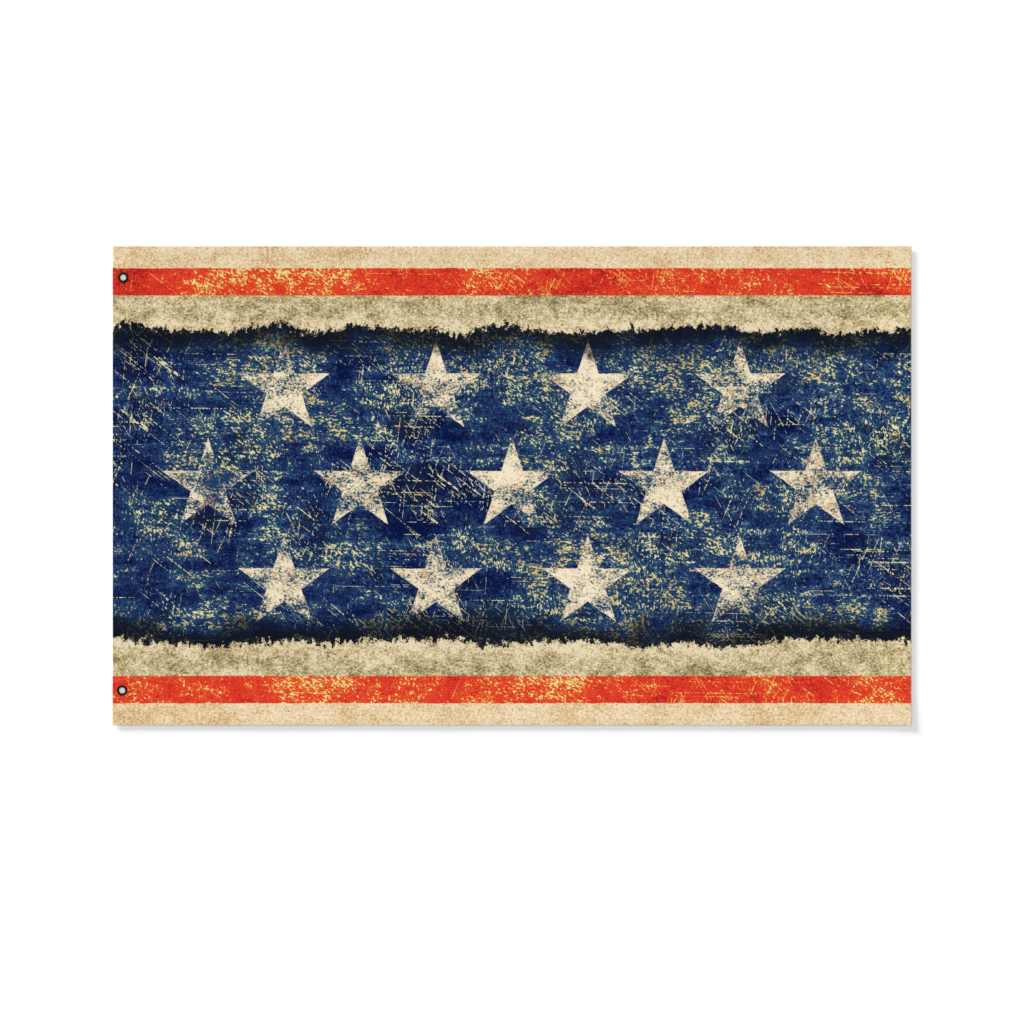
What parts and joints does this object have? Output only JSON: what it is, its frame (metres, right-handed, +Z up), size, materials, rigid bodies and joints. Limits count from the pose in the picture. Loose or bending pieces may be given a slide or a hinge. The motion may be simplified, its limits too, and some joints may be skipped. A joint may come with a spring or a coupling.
{
  "type": "printed flag",
  "caption": "Rectangular printed cloth flag, hemmed all round, lying flat and face up, with a black metal eyelet near each end of its hoist hem.",
  "frame": {"origin": "under the middle of the flag, on the surface that it lies on", "axes": "+X along the fly, away from the eyelets; +Y up the hoist; +Z up out of the printed side"},
  "size_m": [1.524, 0.9144, 0.006],
  "materials": {
    "printed_cloth": "plain woven polyester, dye printed on one side, matt",
    "black_metal": "black enamelled pressed metal, satin"
  },
  "bodies": {
    "root": {"cloth": "printed_cloth", "heading": "printed_cloth", "eyelet_top": "black_metal", "eyelet_bottom": "black_metal", "washer_top": "black_metal", "washer_bottom": "black_metal"}
  },
  "joints": []
}
